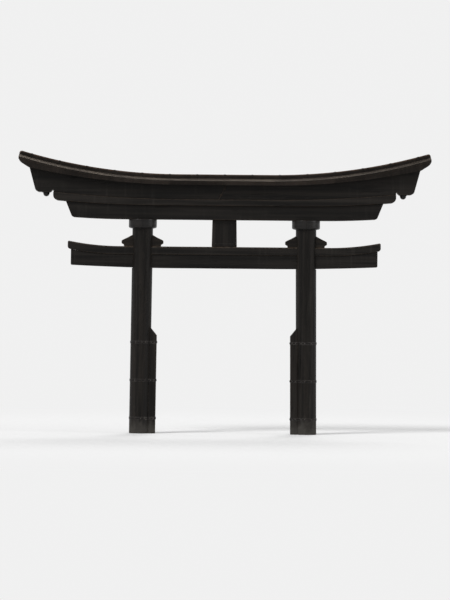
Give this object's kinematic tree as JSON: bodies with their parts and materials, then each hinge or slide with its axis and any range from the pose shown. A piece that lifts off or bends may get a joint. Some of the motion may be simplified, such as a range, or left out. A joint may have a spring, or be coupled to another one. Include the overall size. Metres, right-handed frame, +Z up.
{
  "type": "torii gate",
  "caption": "Black timber torii gate with round leaning pillars, wedged tie beam, stepped double lintel with slanted ends and an upswept roof.",
  "frame": {"origin": "centre of the left pillar's foot, on the ground", "axes": "+X along the gate towards the right pillar, +Y to the back, +Z up; the front faces -Y"},
  "size_m": [8.96, 0.744, 6.1407],
  "materials": {
    "pillar_timber": "black-stained turned trunk, fine checks",
    "jamb_timber": "black-stained sawn post",
    "beam_timber": "black-stained planed beam",
    "wedge_timber": "black-stained hardwood",
    "ring_lacquer": "black lacquer",
    "roof_copper": "blackened sheet copper",
    "strap_iron": "blacked wrought iron"
  },
  "bodies": {
    "root": {"bed_board": "beam_timber", "daiwa_left": "ring_lacquer", "daiwa_right": "ring_lacquer", "drop_left": "ring_lacquer", "drop_right": "ring_lacquer", "eave_front": "roof_copper", "eave_rear": "roof_copper", "gakuzuka": "beam_timber", "jamb_left": "jamb_timber", "jamb_right": "jamb_timber", "kasagi_left": "beam_timber", "kasagi_right": "beam_timber", "nuki": "beam_timber", "nuki_cap": "beam_timber", "pillar_left": "pillar_timber", "pillar_right": "pillar_timber", "ridge_cap": "roof_copper", "roof_end_left": "roof_copper", "roof_end_right": "roof_copper", "roof_front": "roof_copper", "roof_rear": "roof_copper", "shimaki": "beam_timber", "strap_left_high": "strap_iron", "strap_left_low": "strap_iron", "strap_left_middle": "strap_iron", "strap_right_high": "strap_iron", "strap_right_low": "strap_iron", "strap_right_middle": "strap_iron", "wedge_left_inner": "wedge_timber", "wedge_left_outer": "wedge_timber", "wedge_right_inner": "wedge_timber", "wedge_right_outer": "wedge_timber"}
  },
  "joints": []
}
